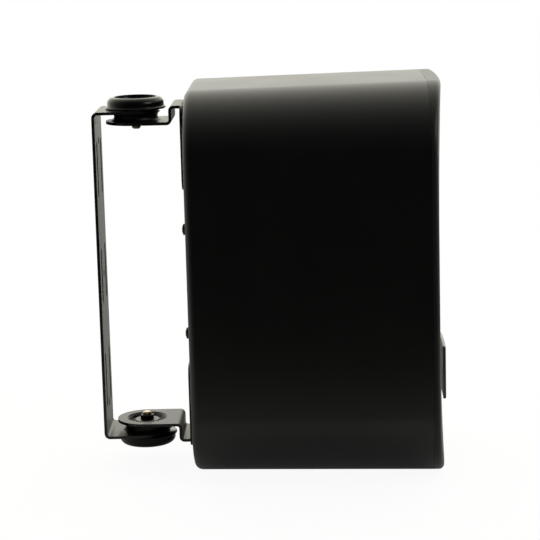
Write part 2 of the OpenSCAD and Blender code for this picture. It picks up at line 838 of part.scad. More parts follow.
module woofer_top_plate() {
    color(steel_black) at_woofer() translate([0, 0, -basket_depth - top_plate_t]) difference() {
        cylinder(r = motor_r, h = top_plate_t);
        translate([0, 0, -1]) cylinder(r = coil_r + 1.8, h = top_plate_t + 2);
    }
}

module woofer_magnet() {
    color([0.2, 0.2, 0.2]) at_woofer()
        translate([0, 0, -basket_depth - top_plate_t - magnet_t]) difference() {
            cylinder(d = magnet_d, h = magnet_t);
            translate([0, 0, -1]) cylinder(r = coil_r + 9, h = magnet_t + 2);
        }
}

module woofer_pole_plate() {
    back_z = -basket_depth - top_plate_t - magnet_t - pole_plate_t;
    color(steel_black) at_woofer() translate([0, 0, back_z]) {
        cylinder(r = motor_r, h = pole_plate_t);
        cylinder(r = coil_r - 0.6, h = pole_plate_t + magnet_t + top_plate_t);
    }
}

module woofer_screws() {
    color(screw_black) at_woofer() translate([0, 0, flange_t]) corner_places(woofer_screw_r)
        pan_screw(woofer_head_d, 2, woofer_screw_d, flange_t + baffle_t - 1);
}

// Half roll of rubber with a flat land on both sides; the outer one ends before the screw heads
module woofer_surround() {
    roll_r = (woofer_hole_r - 1 - cone_r) / 2;
    outer_land = woofer_screw_r - woofer_head_d / 2 - seat_gap;
    roll_end = cone_r + 2 * roll_r;
    color(black) at_woofer() translate([0, 0, flange_t]) rotate_extrude() {
        intersection() {
            translate([cone_r + roll_r, 0]) difference() {
                circle(roll_r);
                circle(roll_r - 1);
            }
            translate([cone_r, 0]) square([2 * roll_r, roll_r]);
        }
        translate([cone_r - 4, 0]) square([5, 1]);
        translate([roll_end - 1, 0]) square([outer_land - roll_end + 1, 1]);
    }
}

module woofer_cone() {
    neck_r = coil_r + 0.6;
    color([0.1, 0.1, 0.1]) at_woofer() rotate_extrude() polygon([
        [neck_r, cone_neck_z], [neck_r + 0.6, cone_neck_z - 1.5], [cone_r - 4, flange_t - 1.6],
        [cone_r, flange_t - 1], [cone_r, flange_t], [cone_r - 5, flange_t - 0.4]]);
}

module woofer_dust_cap() {
    cap_r = 20;
    dome_r = 34;
    rise = sqrt(dome_r * dome_r - cap_r * cap_r);
    color([0.09, 0.09, 0.09]) at_woofer() translate([0, 0, cone_z(cap_r) - rise])
        rotate_extrude() intersection() {
            difference() {
                circle(dome_r, $fn = 96);
                circle(dome_r - 1, $fn = 96);
            }
            translate([0, rise]) square(dome_r);
        }
}

// Height of the cone's front face at radius r
function cone_z(r) =
    cone_neck_z + (r - coil_r - 0.6) * (flange_t - 0.4 - cone_neck_z) / (cone_r - 5.6 - coil_r);

// Inside radius of the basket's slope at height z
function basket_r(z) =
    let (floor_z = basket_t - basket_depth)
    motor_r + (z - floor_z) * (basket_inner_r - motor_r) / (-basket_rim - floor_z);

module woofer_spider() {
    half_t = 0.4;
    outer_r = basket_r(spider_z - half_t) - run_gap;
    waves = 4;
    first_r = coil_r + 1.2;
    pitch = (outer_r - 6 - first_r) / waves;
    color([0.7, 0.55, 0.25]) at_woofer() translate([0, 0, spider_z]) rotate_extrude() {
        for (n = [0 : waves - 1]) translate([first_r + (n + 0.5) * pitch, 0]) intersection() {
            difference() {
                circle(pitch / 2 + 0.2);
                circle(pitch / 2 - 0.6);
            }
            translate([-pitch, n % 2 == 0 ? 0 : -pitch]) square([2 * pitch, pitch]);
        }
        translate([outer_r - 6.6, -half_t]) square([6.6, 2 * half_t]);
    }
}

module voice_coil() {
    color(copper) at_woofer() rotate_extrude() {
        translate([coil_r, -basket_depth - 10]) square([0.6, basket_depth + 10 + cone_neck_z + 1]);
        translate([coil_r + 0.5, -basket_depth - 9]) square([0.6, 13]);
    }
}

// Tweeter

module at_tweeter() {
    facing_front(0, baffle_y, tweeter_rise) children();
}

module tweeter_faceplate() {
    r = tweeter_d / 2;
    color(black) at_tweeter() difference() {
        rotate_extrude() polygon([
            [dome_d / 2 + 1, 0], [r, 0], [r, flange_t - 0.5], [r - 0.5, flange_t],
            [r - 6, flange_t], [dome_d / 2 + 1, 1]]);
        corner_places(tweeter_screw_r)
            translate([0, 0, -1]) cylinder(d = tweeter_screw_d + 2 * hole_gap, h = flange_t + 2);
    }
}

module tweeter_dome() {
    r = dome_d / 2;
    dome_h = 6;
    sphere_r = (r * r + dome_h * dome_h) / (2 * dome_h);
    color([0.15, 0.15, 0.15]) at_tweeter() rotate_extrude() intersection() {
        translate([0, dome_h - sphere_r]) difference() {
            circle(sphere_r, $fn = 96);
            circle(sphere_r - 0.6, $fn = 96);
        }
        square(r);
    }
}

module tweeter_magnet() {
    color([0.2, 0.2, 0.2]) at_tweeter() translate([0, 0, -tweeter_magnet_h])
        cylinder(d = tweeter_magnet_d, h = tweeter_magnet_h);
}

module tweeter_screws() {
    color(screw_black) at_tweeter() translate([0, 0, flange_t]) corner_places(tweeter_screw_r)
        pan_screw(5, 1.6, tweeter_screw_d, flange_t + baffle_t - 1);
}

module port_tube(side) {
    r = port_d / 2;
    color(black) facing_front(side * port_x, baffle_y, tweeter_rise) rotate_extrude() difference() {
        union() {
            translate([r, -port_l]) square([port_t, port_l + 2]);
            square([r + port_t + port_rim, 2]);
        }
        square([r, 3]);
        translate([r - eps, 2]) circle(1.5);
    }
}

// Crossover

module crossover_board() {
    color([0.1, 0.3, 0.15]) difference() {
        forward(board_y, board_t) translate([0, board_z]) square([board_w, board_h], center = true);
        forward(board_y + 1, board_t + 2) board_screw_places() circle(board_screw_d / 2 + seat_gap);
    }
}

module board_screws() {
    color([0.6, 0.6, 0.62]) facing_front(0, board_y - board_t, 0) board_screw_places()
        pan_screw(5.6, 1.8, board_screw_d, board_t + 6);
}

// Coil of diameter d and height h on the board, at x and z from its middle
module coil(x, z, d, h) {
    color(copper) facing_front(x, board_y - board_t, board_z + z) difference() {
        cylinder(d = d, h = h);
        translate([0, 0, -1]) cylinder(d = d * 0.45, h = h + 2);
    }
}

module crossover_coils() {
    coil(-board_w / 4, -4, board_w / 3, 15);
    coil(board_w / 4, 6, board_w / 4, 12);
}

// Capacitor of diameter d and length l lying on the board on its flat foot
module capacitor(x, z, d, l) {
    color([0.85, 0.7, 0.2])
        translate([x - l / 2, board_y - board_t - d / 2, board_z + z]) rotate([0, 90, 0]) {
            cylinder(d = d, h = l);
            translate([-d / 4, d / 4, 2]) cube([d / 2, d / 4, l - 4]);
        }
}

module crossover_capacitors() {
    capacitor(0.3 * board_w, -0.27 * board_h, 14, 30);
    capacitor(0, 0.23 * board_h, 11, 26);
}

// Wires inside the cabinet

wire_r = 1.1;
// Routes of the wires on the +X side; each has a twin on the -X side
input_route = [
    [post_x, stud_end_y, 0], [post_x, stud_end_y - 6, 0], [13, -104, 8], [13, -107, 26],
    [13, -103, 42], [13, -95, 51], [13, -89, 53], [13, board_y - board_t, 53]];
woofer_route = [
    [6, board_y - board_t, 56], [6, -90, 56], [6, -110, 52], [5, -140, 44], [5, -170, 38],
    [5, -184, 30], [5, -190, 20], [5, -190, 12], [5, baffle_y + 28, woofer_z + motor_r + 10]];
tweeter_route = [
    [9, board_y - board_t, 104], [9, -92, 104], [9, -110, 100], [8, -140, 88],
    [8, -170, 76], [8, -188, 70], [8, baffle_y + tweeter_magnet_h, 70]];

function unit(v) = v / norm(v);
function step_to(p, i) = unit(p[i] - p[i - 1]);
function heading(p, i) =
    i == 0 ? step_to(p, 1)
    : i == len(p) - 1 ? step_to(p, i)
    : unit(step_to(p, i) + step_to(p, i + 1));

// Round wire along the points p, with square-cut ends
module wire(p, sides = 8) {
    rings = [for (i = [0 : len(p) - 1])
        let (t = heading(p, i), u = unit(cross(t, [1, 0.02, 0.03])), v = cross(t, u))
        for (k = [0 : sides - 1]) p[i] + wire_r * (cos(k * 360 / sides) * u + sin(k * 360 / sides) * v)];
    n = len(p);
    walls = [for (i = [0 : n - 2], k = [0 : sides - 1])
        [i * sides + k, i * sides + (k + 1) % sides, (i + 1) * sides + (k + 1) % sides, (i + 1) * sides + k]];
    ends = [[for (k = [sides - 1 : -1 : 0]) k], [for (k = [0 : sides - 1]) (n - 1) * sides + k]];
    polyhedron(rings, concat(walls, ends), convexity = 4);
}

module wire_pair(p) {
    color([0.7, 0.1, 0.1]) wire(p);
    color([0.1, 0.1, 0.1]) mirror([1, 0, 0]) wire(p);
}

module damping_pad() {
    pad_depth = cab_d / 3;
    pad_top = woofer_z + cup_h / 3;
    color([0.85, 0.85, 0.8]) forward(cup_floor_y - panel_t - 2, pad_depth) intersection() {
        outline(-wall - hole_gap);
        translate([-cab_w / 2, -cab_h / 2]) square([cab_w, cab_h / 2 + pad_top]);
    }
}

wall_yoke();
knob(true);  // upper_knob
knob(false);  // lower_knob
pivot_bolt(true);  // upper_pivot_bolt
pivot_bolt(false);  // lower_pivot_bolt
spacer(true);  // upper_spacer
spacer(false);  // lower_spacer
washer(true);  // upper_washer
washer(false);  // lower_washer
nut(true);  // upper_nut
nut(false);  // lower_nut
cabinet_bracket(true);  // upper_cabinet_bracket
cabinet_bracket(false);  // lower_cabinet_bracket
bracket_screws();
cabinet_shell();
front_baffle();
baffle_screws();
grille();
grille_badge();
terminal_panel();
terminal_panel_screws();
post(-post_x);  // positive_post
post(post_x);  // negative_post
post_cap(-post_x, [0.7, 0.08, 0.08]);  // positive_cap
post_cap(post_x, [0.08, 0.08, 0.08]);  // negative_cap
terminal_nuts();
woofer_basket();
woofer_top_plate();
woofer_magnet();
woofer_pole_plate();
woofer_screws();
woofer_surround();
woofer_spider();
woofer_cone();
woofer_dust_cap();
voice_coil();
tweeter_faceplate();
tweeter_dome();
tweeter_magnet();
tweeter_screws();
port_tube(-1);  // left_port_tube
port_tube(1);  // right_port_tube
crossover_board();
crossover_coils();
crossover_capacitors();
board_screws();
wire_pair(input_route);  // input_wires
wire_pair(woofer_route);  // woofer_wires
wire_pair(tweeter_route);  // tweeter_wires
damping_pad();
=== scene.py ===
# %% [markdown]
# # A wall speaker on its pan yoke
# The speaker is a black moulded cabinet with a bowed perforated grille. Two bent brackets on its back are
# clamped by big knobs to the arms of a folded steel yoke, which is screwed to a wall.
# The construction comes from the packed frame. This script gives every piece its finish, and builds again
# the pieces whose looks need a finer mesh. Lengths in the code are metres, and `mm` turns millimetres into
# them. A name that ends in `_mm` holds millimetres.

# %% Load the frame
import json
import math

import bmesh
import bpy
from mathutils import Matrix, Vector


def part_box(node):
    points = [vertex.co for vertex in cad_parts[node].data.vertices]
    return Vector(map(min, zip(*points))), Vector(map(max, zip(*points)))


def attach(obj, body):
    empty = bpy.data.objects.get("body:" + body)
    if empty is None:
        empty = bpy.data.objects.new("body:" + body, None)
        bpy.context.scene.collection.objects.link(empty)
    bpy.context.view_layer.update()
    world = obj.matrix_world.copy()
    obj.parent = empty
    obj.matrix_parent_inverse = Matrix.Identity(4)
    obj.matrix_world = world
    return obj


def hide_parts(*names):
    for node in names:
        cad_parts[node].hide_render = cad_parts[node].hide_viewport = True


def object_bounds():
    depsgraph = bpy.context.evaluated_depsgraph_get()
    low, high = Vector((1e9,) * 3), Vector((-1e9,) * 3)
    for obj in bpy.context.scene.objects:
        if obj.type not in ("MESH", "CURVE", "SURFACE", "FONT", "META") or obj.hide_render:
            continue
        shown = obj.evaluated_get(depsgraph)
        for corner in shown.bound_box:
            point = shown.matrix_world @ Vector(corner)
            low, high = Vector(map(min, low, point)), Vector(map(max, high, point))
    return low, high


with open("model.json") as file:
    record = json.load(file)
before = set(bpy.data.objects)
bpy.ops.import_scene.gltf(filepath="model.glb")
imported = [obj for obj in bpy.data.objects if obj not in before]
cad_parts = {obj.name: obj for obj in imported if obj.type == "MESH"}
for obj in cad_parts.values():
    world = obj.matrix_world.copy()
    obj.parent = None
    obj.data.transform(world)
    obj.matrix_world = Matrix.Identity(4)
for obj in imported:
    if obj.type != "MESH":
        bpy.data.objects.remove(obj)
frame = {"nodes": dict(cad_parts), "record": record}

mm = 0.001
mm_per_metre = 1000.0
pan_axis_mm = (0, -28.25, 0)
weld_gap = 1e-6
cad_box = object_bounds()
nodes = frame["nodes"]
print("nodes in the frame:", len(nodes))


# %% [markdown]
# ## The camera
# The photograph looks at the speaker's left side, a little from above, through a long lens.
# Three angles, a distance and a focal length were fitted to about sixty points of the picture, so they are
# written here as they came out. A camera looks along its own -Z, so the three axes are put in a matrix.

# %% Camera
view_yaw = math.radians(1.23)
view_pitch = math.radians(10.69)
view_roll = math.radians(1.50)
focal_px, frame_px, sensor_mm = 1974.8, 540, 36.0
aim = Vector((0, -117.0, -0.8)) * mm
distance = 1365.4 * mm
nearest_seen = 50 * mm


def add_camera():
    forward = Vector((
        math.cos(view_pitch) * math.cos(view_yaw),
        math.cos(view_pitch) * math.sin(view_yaw),
        -math.sin(view_pitch),
    ))
    level = forward.cross(Vector((0, 0, 1))).normalized()
    upright = level.cross(forward)
    right = math.cos(view_roll) * level - math.sin(view_roll) * upright
    up = math.sin(view_roll) * level + math.cos(view_roll) * upright
    turn = Matrix((right, up, -forward)).transposed().to_4x4()
    data = bpy.data.cameras.new("camera")
    data.sensor_width = sensor_mm
    data.lens = focal_px / frame_px * sensor_mm
    data.clip_start = nearest_seen
    camera = bpy.data.objects.new("camera", data)
    camera.matrix_world = Matrix.Translation(aim - forward * distance) @ turn
    bpy.context.scene.collection.objects.link(camera)
    bpy.context.scene.camera = camera
    return camera


camera = add_camera()
print("lens in mm:", round(camera.data.lens, 1))


# %% [markdown]
# ## Shader maths as plain expressions
# Procedural finishes need sums and products of node sockets. Writing them node by node hides the idea, so a
# small class wraps a socket and turns `a * b` or `1 - a` into Math nodes. Every other node comes from one
# method of the finish, which takes the node's type, its settings and the values of its inputs.

# %% Sums of sockets
class Socket:
    """An output socket that can be used in sums."""

    def __init__(self, finish, output):
        self.finish = finish
        self.output = output

    def math(self, operation, other, flip=False):
        first, second = (other, self) if flip else (self, other)
        return self.finish.node("ShaderNodeMath", {"operation": operation}, {0: first, 1: second})

    def __add__(self, other):
        return self.math("ADD", other)

    def __sub__(self, other):
        return self.math("SUBTRACT", other)

    def __mul__(self, other):
        return self.math("MULTIPLY", other)

    def __rsub__(self, other):
        return self.math("SUBTRACT", other, flip=True)

    __radd__ = __add__

    def clamp(self):
        return self.finish.node("ShaderNodeClamp", {}, {"Value": self})


print("sums a socket knows:", [name for name in vars(Socket) if name[-5:-2] in ("add", "sub", "mul")])


# %% A material under construction
class Finish:
    """A material under construction."""

    def __init__(self, name):
        self.material = bpy.data.materials.new(name)
        self.material.use_nodes = True
        self.tree = self.material.node_tree
        self.shader = self.tree.nodes["Principled BSDF"]

    def node(self, kind, settings=None, inputs=None, output=0):
        made = self.tree.nodes.new(kind)
        for key, value in (settings or {}).items():
            setattr(made, key, value)
        for key, value in (inputs or {}).items():
            self.feed(made.inputs[key], value)
        return Socket(self, made.outputs[output])

    def feed(self, socket, value):
        if isinstance(value, Socket):
            self.tree.links.new(value.output, socket)
        else:
            socket.default_value = value

    def set(self, **inputs):
        for key, value in inputs.items():
            self.feed(self.shader.inputs[key.replace("_", " ")], value)

    def place(self, scale=1.0, stretch=(1, 1, 1)):
        """The object's own coordinates in metres, scaled."""
        where = self.node("ShaderNodeTexCoord", output="Object")
        factor = tuple(scale * s for s in stretch)
        return self.node("ShaderNodeMapping", {}, {"Vector": where, "Scale": factor})

    def noise(self, size_mm, detail=3.0, stretch=(1, 1, 1), roughness=0.5):
        """Noise from 0 to 1, whose blobs are about size_mm across."""
        vector = self.place(mm_per_metre / size_mm, stretch)
        return self.node("ShaderNodeTexNoise", {}, {
            "Vector": vector, "Scale": 1.0, "Detail": detail, "Roughness": roughness})

    def blend(self, factor, dark, light):
        """A colour between dark and light."""
        return self.node("ShaderNodeMix", {"data_type": "RGBA"}, {
            "Factor": factor, 6: (*dark, 1), 7: (*light, 1)}, output=2)

    def bump(self, height, depth_mm, strength=1.0):
        self.set(Normal=self.node("ShaderNodeBump", {}, {
            "Height": height, "Distance": depth_mm * mm, "Strength": strength}))


print("steps of a finish:", [name for name in vars(Finish) if not name.startswith("_")])


# %% [markdown]
# ## Finishes
# Each real surface has its own way of being not quite flat. Moulded plastic carries the fine texture that
# the mould was etched with, powder coat flows into a soft orange peel, and plated steel shows the streaks of
# its bath. The textures are measured in millimetres, so they stay at their real scale.

# %% Plastics
cloud_mm, grain_mm, grain_depth_mm = 38, 0.55, 0.02
flow_mm, flow_depth_mm, scuff_mm = 14, 0.03, 1.1
haze = 0.0004


def lighter(colour, gain, lift=0):
    return tuple(c * gain + lift for c in colour)


def moulded_plastic(name, colour, roughness):
    """Satin plastic out of an etched mould."""
    finish = Finish(name)
    cloud = finish.noise(cloud_mm, detail=2)
    grain = finish.noise(grain_mm, detail=4, roughness=0.6)
    finish.set(Base_Color=finish.blend(cloud, colour, lighter(colour, 1.4, haze)),
               Roughness=roughness + (cloud - 0.5) * 0.08)
    finish.bump(grain, grain_depth_mm)
    return finish.material


def polished_plastic(name, colour, roughness=0.16):
    """Smooth plastic with a faint sink and flow marks."""
    finish = Finish(name)
    flow = finish.noise(flow_mm, detail=2, stretch=(1, 1, 2))
    scuff = finish.noise(scuff_mm, detail=5, roughness=0.7)
    finish.set(Base_Color=finish.blend(flow, colour, lighter(colour, 1.3, haze)),
               Roughness=roughness + scuff * 0.06)
    finish.bump(flow, flow_depth_mm, strength=0.5)
    return finish.material


print("coarse to fine texture in mm:", cloud_mm, flow_mm, scuff_mm, grain_mm)


# %% Plastics of the pieces
cabinet_finish = moulded_plastic("cabinet_plastic", (0.0030, 0.0030, 0.0028), 0.34)
inner_finish = moulded_plastic("inner_plastic", (0.004, 0.004, 0.004), 0.6)
panel_finish = moulded_plastic("panel_plastic", (0.005, 0.005, 0.005), 0.42)
spacer_finish = moulded_plastic("spacer_plastic", (0.004, 0.004, 0.004), 0.4)
knob_finish = polished_plastic("knob_plastic", (0.003, 0.003, 0.003))
red_finish = polished_plastic("red_cap_plastic", (0.42, 0.02, 0.018), 0.25)
black_cap_finish = polished_plastic("black_cap_plastic", (0.012, 0.012, 0.012), 0.25)
badge_finish = polished_plastic("badge_plastic", (0.035, 0.035, 0.037), 0.22)


def set_shine(material, level):
    """How strongly the bare surface mirrors the room, from 0 to 1."""
    material.node_tree.nodes["Principled BSDF"].inputs["Specular IOR Level"].default_value = level


set_shine(inner_finish, 0.15)
set_shine(knob_finish, 0.28)
print("plastics:", [m.name for m in bpy.data.materials if m.name.endswith("_plastic")])


# %% Metals and coats
peel_mm, peel_depth_mm, speck_mm, coat_cloud_mm = 1.6, 0.035, 0.5, 25
film_mm, scratch_mm, scratch_depth_mm = 2.2, 0.4, 0.008


def peel_and_speck(finish):
    return finish.noise(peel_mm, detail=2), finish.noise(speck_mm, detail=1)


def powder_coat(name, colour, roughness=0.34):
    """Powder paint on steel: soft peel and a few specks."""
    finish = Finish(name)
    peel, speck = peel_and_speck(finish)
    cloud = finish.noise(coat_cloud_mm, detail=2)
    finish.set(Base_Color=finish.blend(cloud, colour, lighter(colour, 1.3)),
               Roughness=roughness + (speck - 0.5) * 0.1)
    finish.bump(peel, peel_depth_mm)
    return finish.material


def plated_steel(name, dark, light, roughness=0.3):
    """Zinc plate with a cloudy passivated film."""
    finish = Finish(name)
    film = finish.noise(film_mm, detail=3)
    scratch = finish.noise(scratch_mm, detail=3, stretch=(1, 1, 6))
    finish.set(Base_Color=finish.blend(film, dark, light), Metallic=1.0,
               Roughness=roughness + scratch * 0.15)
    finish.bump(scratch, scratch_depth_mm)
    return finish.material


print("texture of the paint in mm:", coat_cloud_mm, peel_mm, speck_mm)


# %% [markdown]
# ## Teeth of the pan joint
# Each bracket has a dish with 36 radial teeth pressed into it, which hold the angle of the pan. The teeth are
# in the frame's own mesh, but they are a fraction of a millimetre deep and hardly show on black paint. So the
# finish paints a highlight on them: a sine wave runs round the pan axis, and two clamped ramps keep it inside
# a ring. The lighter teeth are a painted highlight, not a colour of the paint.

# %% Toothed coat
teeth, teeth_inner_mm, teeth_outer_mm = 36, 8.9, 13.6
# the last number sets how much lighter the painted highlight on the teeth is than the paint
tooth_edge, tooth_height, tooth_highlight_gain = 2, 12, 9


def toothed_coat(name, colour, roughness=0.3):
    """Powder paint with a ring of teeth round the pan axis, which carry a painted highlight."""
    finish = Finish(name)
    where = finish.node("ShaderNodeTexCoord", output="Object")
    x = finish.node("ShaderNodeSeparateXYZ", {}, {"Vector": where})
    y = Socket(finish, x.output.node.outputs["Y"]) - pan_axis_mm[1] * mm
    radius = finish.node("ShaderNodeMath", {"operation": "SQRT"}, {0: x * x + y * y}) * mm_per_metre
    wave = finish.node("ShaderNodeMath", {"operation": "SINE"}, {0: y.math("ARCTAN2", x) * teeth})
    ring = (((radius - teeth_inner_mm) * tooth_edge).clamp()
            * ((teeth_outer_mm - radius) * tooth_edge).clamp())
    tooth = (wave * tooth_edge + 0.5).clamp() * ring
    peel, speck = peel_and_speck(finish)
    # painted highlight: the teeth are coloured lighter than the paint, standing in for light caught on them
    finish.set(Base_Color=finish.blend(tooth, colour, lighter(colour, tooth_highlight_gain)),
               Roughness=roughness + speck * 0.1)
    finish.bump(tooth * tooth_height + peel, peel_depth_mm)
    return finish.material


print("pitch of the teeth in degrees:", 360 / teeth)


# %% Coats and metals of the pieces
yoke_finish = powder_coat("yoke_coat", (0.008, 0.008, 0.0075))
bracket_finish = toothed_coat("bracket_coat", (0.006, 0.006, 0.0058))
grille_finish = powder_coat("grille_coat", (0.014, 0.014, 0.014), 0.36)
set_shine(grille_finish, 0.3)
basket_finish = powder_coat("basket_coat", (0.012, 0.012, 0.012), 0.45)
screw_finish = plated_steel("black_screws", (0.03, 0.03, 0.03), (0.06, 0.06, 0.06), 0.32)
bolt_finish = plated_steel("yellow_zinc", (0.50, 0.42, 0.28), (0.78, 0.70, 0.50), 0.24)
washer_finish = plated_steel("pale_zinc", (0.16, 0.16, 0.155), (0.26, 0.26, 0.25), 0.42)
nut_finish = plated_steel("dark_nut", (0.018, 0.016, 0.015), (0.04, 0.036, 0.034), 0.4)
brass_finish = plated_steel("terminal_brass", (0.60, 0.44, 0.18), (0.82, 0.64, 0.30), 0.2)
print("coats:", [m.name for m in bpy.data.materials if m.name.endswith("_coat")])


# %% Inside finishes
wave_scale = 0.32


def soft_matter(name, dark, light, size_mm, roughness=0.9, depth_mm=0.1):
    """Cloth, paper, rubber, wadding and other dull matter."""
    finish = Finish(name)
    fibre = finish.noise(size_mm, detail=5, roughness=0.7)
    finish.set(Base_Color=finish.blend(fibre, dark, light), Roughness=roughness)
    finish.bump(fibre, depth_mm)
    return finish.material


def wound_wire(name, dark, light, pitch_mm, axis):
    """Enamelled wire wound in layers along one axis."""
    finish = Finish(name)
    turns = finish.node("ShaderNodeTexWave", {"wave_type": "BANDS", "bands_direction": axis},
                        {"Vector": finish.place(mm_per_metre / pitch_mm),
                         "Scale": wave_scale, "Distortion": 0.3})
    finish.set(Base_Color=finish.blend(turns, dark, light), Metallic=0.8, Roughness=0.35)
    finish.bump(turns, 0.15)
    return finish.material


cone_finish = soft_matter("paper_cone", (0.010, 0.010, 0.010), (0.028, 0.028, 0.028), 0.9, 0.75, 0.06)
rubber_finish = soft_matter("rubber_surround", (0.008, 0.008, 0.008), (0.016, 0.016, 0.016), 2.0, 0.6, 0.02)
spider_finish = soft_matter("spider_cloth", (0.30, 0.20, 0.07), (0.48, 0.34, 0.14), 0.8)
dome_finish = soft_matter("dome_cloth", (0.012, 0.012, 0.014), (0.035, 0.035, 0.04), 0.5, 0.55, 0.03)
wadding_finish = soft_matter("wadding", (0.55, 0.54, 0.50), (0.82, 0.81, 0.77), 2.5, 0.95, 0.6)
ferrite_finish = soft_matter("ferrite", (0.030, 0.030, 0.032), (0.06, 0.06, 0.06), 1.0, 0.6, 0.03)
board_finish = soft_matter("circuit_board", (0.02, 0.09, 0.035), (0.03, 0.13, 0.05), 3.0, 0.4, 0.01)
film_finish = soft_matter("capacitor_film", (0.62, 0.42, 0.08), (0.75, 0.55, 0.14), 4.0, 0.3, 0.01)
winding_finish = wound_wire("enamelled_copper", (0.35, 0.12, 0.05), (0.72, 0.32, 0.16), 0.6, "Y")
red_wire_finish = soft_matter("red_wire", (0.35, 0.02, 0.02), (0.45, 0.03, 0.03), 2.0, 0.45, 0.01)
black_wire_finish = soft_matter("black_wire", (0.015, 0.015, 0.015), (0.03, 0.03, 0.03), 2.0, 0.45, 0.01)
print("materials by now:", len(bpy.data.materials))


# %% [markdown]
# ## Dressing a piece of the frame
# Pieces of the frame arrive as loose triangles with razor-sharp edges. Real edges catch the light, so a copy
# is welded, its flat faces are joined again, and its sharp edges get a narrow bevel. The copy replaces the
# frame's own piece in the picture, and rides on the same body.

# %% A piece from a mesh
def add_piece(name, bm, body, material, smooth_deg=32):
    """Makes an object of a bmesh and fixes it to a body of the frame. Edges above smooth_deg stay sharp."""
    mesh = bpy.data.meshes.new(name)
    bm.to_mesh(mesh)
    bm.free()
    mesh.materials.append(material)
    mesh.shade_smooth()
    mesh.set_sharp_from_angle(angle=math.radians(smooth_deg))
    piece = bpy.data.objects.new(name, mesh)
    bpy.context.scene.collection.objects.link(piece)
    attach(piece, body)
    return piece


def node_body(node):
    bodies = frame["record"]["behaviour"]["bodies"]
    return next(name for name, members in bodies.items() if node in members)


# %% Copy, weld and bevel
flat_angle, corner_angle = math.radians(0.4), math.radians(40)
bevel_segments = 2


def dress(node, material, edge_mm):
    """A welded and bevelled copy of a node, which takes its place in the picture."""
    bm = bmesh.new()
    bm.from_mesh(nodes[node].data)
    bmesh.ops.remove_doubles(bm, verts=bm.verts, dist=weld_gap)
    bmesh.ops.dissolve_limit(bm, angle_limit=flat_angle, verts=bm.verts, edges=bm.edges)
    piece = add_piece(f"dressed_{node}", bm, node_body(node), material)
    if edge_mm:
        bevel = piece.modifiers.new("edges", "BEVEL")
        bevel.width = edge_mm * mm
        bevel.segments = bevel_segments
        bevel.limit_method = "ANGLE"
        bevel.angle_limit = corner_angle
        bevel.harden_normals = True
    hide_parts(node)


dress("wall_yoke", yoke_finish, 0.35)
for side in ("upper", "lower"):
    dress(f"{side}_cabinet_bracket", bracket_finish, 0.3)
    dress(f"{side}_spacer", spacer_finish, 0.3)
    dress(f"{side}_washer", washer_finish, 0.15)
    dress(f"{side}_nut", nut_finish, 0.3)
dress("cabinet_shell", cabinet_finish, 0)
dress("terminal_panel", panel_finish, 0.4)


# %% [markdown]
# ## Pieces that keep the frame's mesh
# Small and inner pieces already have the right form, so they only get their finish. A pair of wires is one
# node with two materials: the wire at negative X is the black one.

# %% Finishes for the other nodes
wire_nodes = ("input_wires", "woofer_wires", "tweeter_wires")
plain_finishes = {
    screw_finish: ("bracket_screws", "terminal_panel_screws", "baffle_screws", "woofer_screws",
                   "tweeter_screws"),
    bolt_finish: ("upper_pivot_bolt", "lower_pivot_bolt", "board_screws"),
    brass_finish: ("positive_post", "negative_post", "terminal_nuts"),
    inner_finish: ("front_baffle", "left_port_tube", "right_port_tube", "tweeter_faceplate"),
    red_finish: ("positive_cap",),
    black_cap_finish: ("negative_cap",),
    basket_finish: ("woofer_basket", "woofer_top_plate", "woofer_pole_plate"),
    ferrite_finish: ("woofer_magnet", "tweeter_magnet"),
    rubber_finish: ("woofer_surround",),
    cone_finish: ("woofer_cone", "woofer_dust_cap"),
    spider_finish: ("woofer_spider",),
    winding_finish: ("voice_coil", "crossover_coils"),
    dome_finish: ("tweeter_dome",),
    board_finish: ("crossover_board",),
    film_finish: ("crossover_capacitors",),
    red_wire_finish: wire_nodes,
    wadding_finish: ("damping_pad",),
}


for material, names in plain_finishes.items():
    for name in names:
        data = nodes[name].data
        data.materials.clear()
        data.materials.append(material)
for name in wire_nodes:
    data = nodes[name].data
    data.materials.append(black_wire_finish)
    for face in data.polygons:
        face.material_index = int(face.center.x < 0)
print("painted nodes:", sum(len(names) for names in plain_finishes.values()))


# %% [markdown]
# ## The grille
# The real grille is one steel sheet with thousands of punched holes in staggered rows, bowed across its width
# and folded round its edge. One cell of the pattern is meant to be a hexagon with a hole in it, which two
# Array modifiers repeat over the whole front. The rest is filled up to the outline, and only then is the flat
# sheet bent, folded and given its thickness.
#
# The holes are missing here, and that is a known fault. The inset makes no ring at the border of a lone face,
# so the cell and the field stay empty, the fill covers the whole front, and the sheet comes out plain. A lone
# cell does get its ring of six faces with use_boundary=True; the whole field was not tried with it.

# %% Sizes of the grille, the outer ones read from the frame
grille_low, grille_high = (Vector(c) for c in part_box("grille"))
half_width = (grille_high.x - grille_low.x) / 2
half_height = (grille_high.z - grille_low.z) / 2
front_y = grille_low.y
seam_y = grille_high.y
corner_radius = 47.2 * mm
bow_depth = 6.5 * mm
bow_radius = (half_width ** 2 + bow_depth ** 2) / (2 * bow_depth)
fold_radius = 3.4 * mm
sheet = 0.9 * mm
hole_pitch = 2.59 * mm
hole_radius = 0.76 * mm
row_step = hole_pitch * math.sin(math.radians(60))
bare_margin = 2.2 * mm
print("grille in mm:", [round(v / mm, 1) for v in (2 * half_width, seam_y - front_y, 2 * half_height)])


# %% Bow, outline and hole places
def bow(x):
    """Place of the grille's front along Y at the sideways place x."""
    return front_y + bow_radius - math.sqrt(bow_radius ** 2 - x ** 2)


def core_offset(point, shrink):
    """The way to a point from the outline's straight core, and how far the point lies past an outline
    that is pulled in by shrink."""
    core_x = half_width - corner_radius
    core_z = half_height - corner_radius
    beside = point.x - max(-core_x, min(core_x, point.x))
    above = point.z - max(-core_z, min(core_z, point.z))
    gap = Vector((beside, 0, above))
    return gap, gap.length - (corner_radius - shrink)


